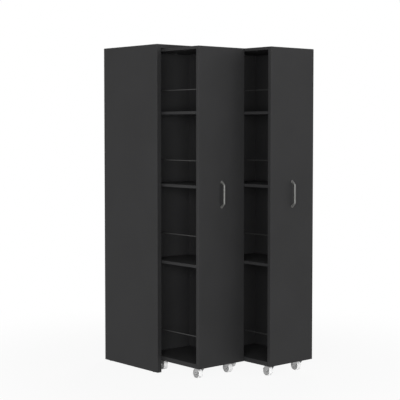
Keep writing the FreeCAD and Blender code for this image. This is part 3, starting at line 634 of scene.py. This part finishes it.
class BOOKCASE_OT_wheels(bpy.types.Operator):
    """Builds each caster wheel as a ribbed hub and a grooved tread"""

    bl_idname = "bookcase.wheels"
    bl_label = "Wheels"

    def execute(self, context):
        settings = settings_of("wheels")
        hub = moulded("hub plastic", settings.hub_colour, roughness=0.45, relief=0.02 * MM)
        tread = moulded("tread rubber", settings.tread_colour, roughness=0.55, relief=0.03 * MM)
        for unit in UNITS:
            for corner in CORNERS:
                self.build(settings, f"{unit}_wheel_{corner}", hub, tread)
        return {"FINISHED"}

    def build(self, settings, node, hub, tread):
        """One wheel, in the place of its CAD node and with its size."""
        middle, size = middle_and_size(node)
        place = Matrix.Translation(middle) @ Matrix.Rotation(math.pi / 2, 4, "Y")
        radius = size.z / 2
        seat = radius - settings.tread
        tread_shape = self.tread(settings, radius, seat, place)
        made = piece(f"{node}_tread", tread_shape, tread, node)
        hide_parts(node)
        hub_shape = self.hub(settings, seat, size.x / 2, place)
        piece(f"{node}_hub", hub_shape, hub, node)

    def tread(self, settings, radius, seat, place):
        """The tread: round shoulders and three fine grooves round a nearly flat face."""
        half = settings.tread_width / 2
        rounding = settings.tread_round
        flat = half - rounding
        groove = settings.groove
        inner = radius - rounding
        outline = [(seat, -half), *arc((inner, -flat), rounding, -90, 0, SHOULDER_STEPS)]
        for share in GROOVE_SHARES:
            middle = share * flat
            outline += [(radius, middle - groove), (radius - groove, middle),
                        (radius, middle + groove)]
        outline += [*arc((inner, flat), rounding, 0, 90, SHOULDER_STEPS), (seat, half)]
        shape = bmesh.new()
        lathe(shape, lambda angle: outline, TREAD_STEPS, place)
        return shape

    def hub(self, settings, seat, half_width, place):
        """The hub: bore, boss, a web stiffened by ribs on both sides, and the rim."""
        bore, boss = settings.bore, settings.boss
        rim_inner = seat - settings.rim
        rim_face = settings.rim_width / 2
        web_face = settings.web / 2
        rib_face = rim_face - RIB_DROP
        inner, outer = boss + HUB_EDGE, rim_inner - HUB_EDGE
        rows = [inner + (outer - inner) * row / HUB_ROWS for row in range(HUB_ROWS + 1)]

        def height(angle, radius):
            """Half the hub's thickness between boss and rim: the web, or a rib's rounded back."""
            turn = angle * settings.ribs / (2 * math.pi)
            off = abs(turn - round(turn)) * 2 * math.pi / settings.ribs * radius
            rise = (settings.rib_width / 2 + HUB_EDGE - off) / HUB_EDGE
            rise = min(1.0, max(0.0, rise))
            return web_face + (rib_face - web_face) * rise * rise * (3 - 2 * rise)

        def outline_at(angle):
            """The hub's closed section at an angle, alike above and below its middle."""
            side = [(bore, half_width - HUB_EDGE), (bore + HUB_EDGE, half_width),
                    (boss - HUB_EDGE, half_width), (boss, half_width - HUB_EDGE)]
            side += [(radius, height(angle, radius)) for radius in rows]
            side += [(rim_inner, rim_face - HUB_EDGE), (rim_inner + HUB_EDGE, rim_face),
                     (seat, rim_face)]
            return side + [(radius, -level) for radius, level in reversed(side)]

        shape = bmesh.new()
        lathe(shape, outline_at, HUB_STEPS, place)
        return shape


class BOOKCASE_OT_fittings(bpy.types.Operator):
    """Finishes dowels, cams, screws, glides and stop buffers"""

    bl_idname = "bookcase.fittings"
    bl_label = "Fittings"

    def execute(self, context):
        settings = settings_of("fittings")
        metal = settings_of("metal")
        wood = beech(settings)
        cams = cast_zinc(metal)
        screws = zinc_plate(metal)
        black = moulded("black moulding", settings.rubber, roughness=0.6, relief=0.03 * MM)
        dress(wood, "shell_dowels", "left_dowels", "right_dowels")
        dress(cams, "shell_cam_fittings", "left_cam_fittings", "right_cam_fittings")
        dress(screws, "back_screws", "left_handle_screws", "right_handle_screws")
        dress(black, "floor_glides", "stop_buffers")
        return {"FINISHED"}


class BOOKCASE_OT_cam_covers(bpy.types.Operator):
    """Covers every cam with a thin round cap in the colour of the boards"""

    bl_idname = "bookcase.cam_covers"
    bl_label = "Cam covers"

    def execute(self, context):
        settings = settings_of("fittings")
        cap = moulded("cover plastic", settings.cover_colour, roughness=0.5, relief=0.02 * MM)
        outline = self.outline(settings)
        for start, body in (("shell", "shell"), ("left", "left_unit"), ("right", "right_unit")):
            shape = bmesh.new()
            for face in self.cam_faces(settings, f"{start}_cam_fittings"):
                lathe(shape, lambda angle: outline, COVER_STEPS, Matrix.Translation(face))
            piece(f"{start}_cam_covers", shape, cap, body)
        return {"FINISHED"}

    def cam_faces(self, settings, node):
        """The middle of each cam's lower face, from the loose parts of the node's mesh."""
        shape = bmesh.new()
        shape.from_mesh(NODES[node].data)
        faces = []
        for part in self.loose_parts(shape):
            low, high = [
                Vector([pick(vertex.co[axis] for vertex in part) for axis in range(3)])
                for pick in (min, max)]
            size = high - low
            wide = all(abs(size[axis] - settings.cam_width) < CAM_TOLERANCE for axis in (0, 1))
            if wide and size.z > settings.cam_width / 2:
                faces.append(Vector(((low.x + high.x) / 2, (low.y + high.y) / 2, low.z)))
        shape.free()
        if not faces:
            raise RuntimeError(f"no cam was found in {node}")
        return faces

    def loose_parts(self, shape):
        """The sets of joined vertices in a bmesh."""
        parts = []
        seen = set()
        for start in shape.verts:
            if start in seen:
                continue
            part = {start}
            front = [start]
            while front:
                vertex = front.pop()
                for edge in vertex.link_edges:
                    other = edge.other_vert(vertex)
                    if other not in part:
                        part.add(other)
                        front.append(other)
            seen |= part
            parts.append(part)
        return parts

    def outline(self, settings):
        """Half the cap's section: flat against the board, its edge round, its face just domed."""
        radius = settings.cover_radius
        thick = settings.cover_thickness
        rounding = thick * COVER_ROUNDING
        centre = (radius - rounding, rounding - thick)
        edge = arc(centre, rounding, 0, -90, COVER_EDGE_STEPS)
        halfway, middle = COVER_DOME
        dome = [(radius / 2, -thick * halfway), (COVER_EYE, -thick * middle)]
        return [(COVER_EYE, 0.0), (radius, 0.0), *edge, *dome]


class BOOKCASE_OT_stage(bpy.types.Operator):
    """Builds the plain floor, the soft light and the camera"""

    bl_idname = "bookcase.stage"
    bl_label = "Stage"

    def execute(self, context):
        settings = settings_of("stage")
        scene = context.scene
        self.floor(settings, scene)
        self.world(settings, scene)
        for name in ("key", "fill", "front", "rear"):
            self.lamp(settings, scene, name)
        self.camera(settings, scene)
        scene.view_settings.view_transform = "Standard"
        return {"FINISHED"}

    def floor(self, settings, scene):
        """A wide white floor, seen partly as plain white so that its shadows stay faint."""
        shape = bmesh.new()
        bmesh.ops.create_grid(shape, x_segments=1, y_segments=1, size=settings.floor_size / 2)
        mesh = mesh_of("floor", shape)
        floor = bpy.data.objects.new("floor", mesh)
        scene.collection.objects.link(floor)
        finish = Finish("white floor")
        rays = self.seen_rays(finish)
        finish.shade(
            Base_Color=colour(settings.floor_colour), Roughness=0.9, Specular_IOR_Level=0.0)
        white = finish.node("ShaderNodeEmission", None, {"Color": WHITE, "Strength": 1.0})
        surface = Wire(finish, finish.shader.outputs[0])
        flat = finish.stretched(finish.place(), (1.0, 1.0, 0.0))
        length = {"operation": "LENGTH"}
        distance = finish.node("ShaderNodeVectorMath", length, {0: flat}, output="Value")
        fade = distance.eased(settings.glow_start, settings.glow_end)
        glow = rays * (fade * (1.0 - settings.floor_glow) + settings.floor_glow)
        both = finish.node("ShaderNodeMixShader", None, {0: glow, 1: surface, 2: white})
        finish.set(finish.tree.nodes["Material Output"].inputs[0], both)
        mesh.materials.append(finish.material)

    def seen_rays(self, maker):
        """1 for rays from the camera or from a mirror or glass, and 0 for the rest."""
        camera, glossy, through = [
            maker.node("ShaderNodeLightPath", output=name)
            for name in ("Is Camera Ray", "Is Glossy Ray", "Is Transmission Ray")]
        return (camera + glossy + through).clamped()

    def world(self, settings, scene):
        """Even white light, and white behind the object."""
        world = bpy.data.worlds.new("studio")
        world.use_nodes = True
        scene.world = world
        maker = Maker(world.node_tree)
        strength = self.seen_rays(maker) * (1.0 - settings.ambient) + settings.ambient
        background = maker.tree.nodes["Background"]
        maker.set(background.inputs["Color"], WHITE)
        maker.set(background.inputs["Strength"], strength)

    def lamp(self, settings, scene, name):
        """A large soft lamp that points at the middle of the object."""
        place = Vector(getattr(settings, f"{name}_place"))
        data = bpy.data.lights.new(name, "AREA")
        data.energy = getattr(settings, name)
        data.size = settings.lamp_size
        lamp = bpy.data.objects.new(name, data)
        lamp.location = place
        low, high = BOX_AT_LOAD
        middle = (Vector(low) + Vector(high)) / 2
        lamp.rotation_euler = (middle - place).to_track_quat("-Z", "Y").to_euler()
        scene.collection.objects.link(lamp)

    def camera(self, settings, scene):
        """The camera at the photograph's place and angle."""
        data = bpy.data.cameras.new("camera")
        data.sensor_fit = "HORIZONTAL"
        data.sensor_width = SENSOR_WIDTH
        data.lens = settings.lens
        data.shift_y = settings.shift
        data.clip_end = 2 * settings.floor_size
        camera = bpy.data.objects.new("camera", data)
        camera.location = settings.camera_place
        camera.rotation_euler = (math.pi / 2 - settings.camera_tilt, 0.0, -settings.camera_turn)
        scene.collection.objects.link(camera)
        scene.camera = camera


OPERATORS = (
    BOOKCASE_OT_boards,
    BOOKCASE_OT_rails,
    BOOKCASE_OT_handles,
    BOOKCASE_OT_caster_metal,
    BOOKCASE_OT_wheels,
    BOOKCASE_OT_fittings,
    BOOKCASE_OT_cam_covers,
    BOOKCASE_OT_stage,
)


class BOOKCASE_PT_panel(bpy.types.Panel):
    """Lists the steps that dress the bookcase"""

    bl_label = "Extendable Bookcase"
    bl_idname = "BOOKCASE_PT_panel"
    bl_space_type = "VIEW_3D"
    bl_region_type = "UI"
    bl_category = "Bookcase"

    def draw(self, context):
        for operator in OPERATORS:
            self.layout.operator(operator.bl_idname)
        for name in SETTINGS:
            box = self.layout.box()
            box.label(text=name.capitalize())
            group = settings_of(name)
            for key in group.bl_rna.properties.keys():
                if key not in ("rna_type", "name"):
                    box.prop(group, key)


def register():
    for group in SETTINGS.values():
        bpy.utils.register_class(group)
    for name, group in SETTINGS.items():
        setattr(bpy.types.Scene, f"bookcase_{name}", PointerProperty(type=group))
    for made in (*OPERATORS, BOOKCASE_PT_panel):
        bpy.utils.register_class(made)


def unregister():
    for made in reversed((*OPERATORS, BOOKCASE_PT_panel)):
        bpy.utils.unregister_class(made)
    for name in SETTINGS:
        delattr(bpy.types.Scene, f"bookcase_{name}")
    for group in reversed(SETTINGS.values()):
        bpy.utils.unregister_class(group)


def main():
    """Registers the add-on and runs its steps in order."""
    register()
    for operator in OPERATORS:
        step = operator.bl_idname.split(".")[1]
        getattr(bpy.ops.bookcase, step)()


if __name__ == "__main__":
    main()
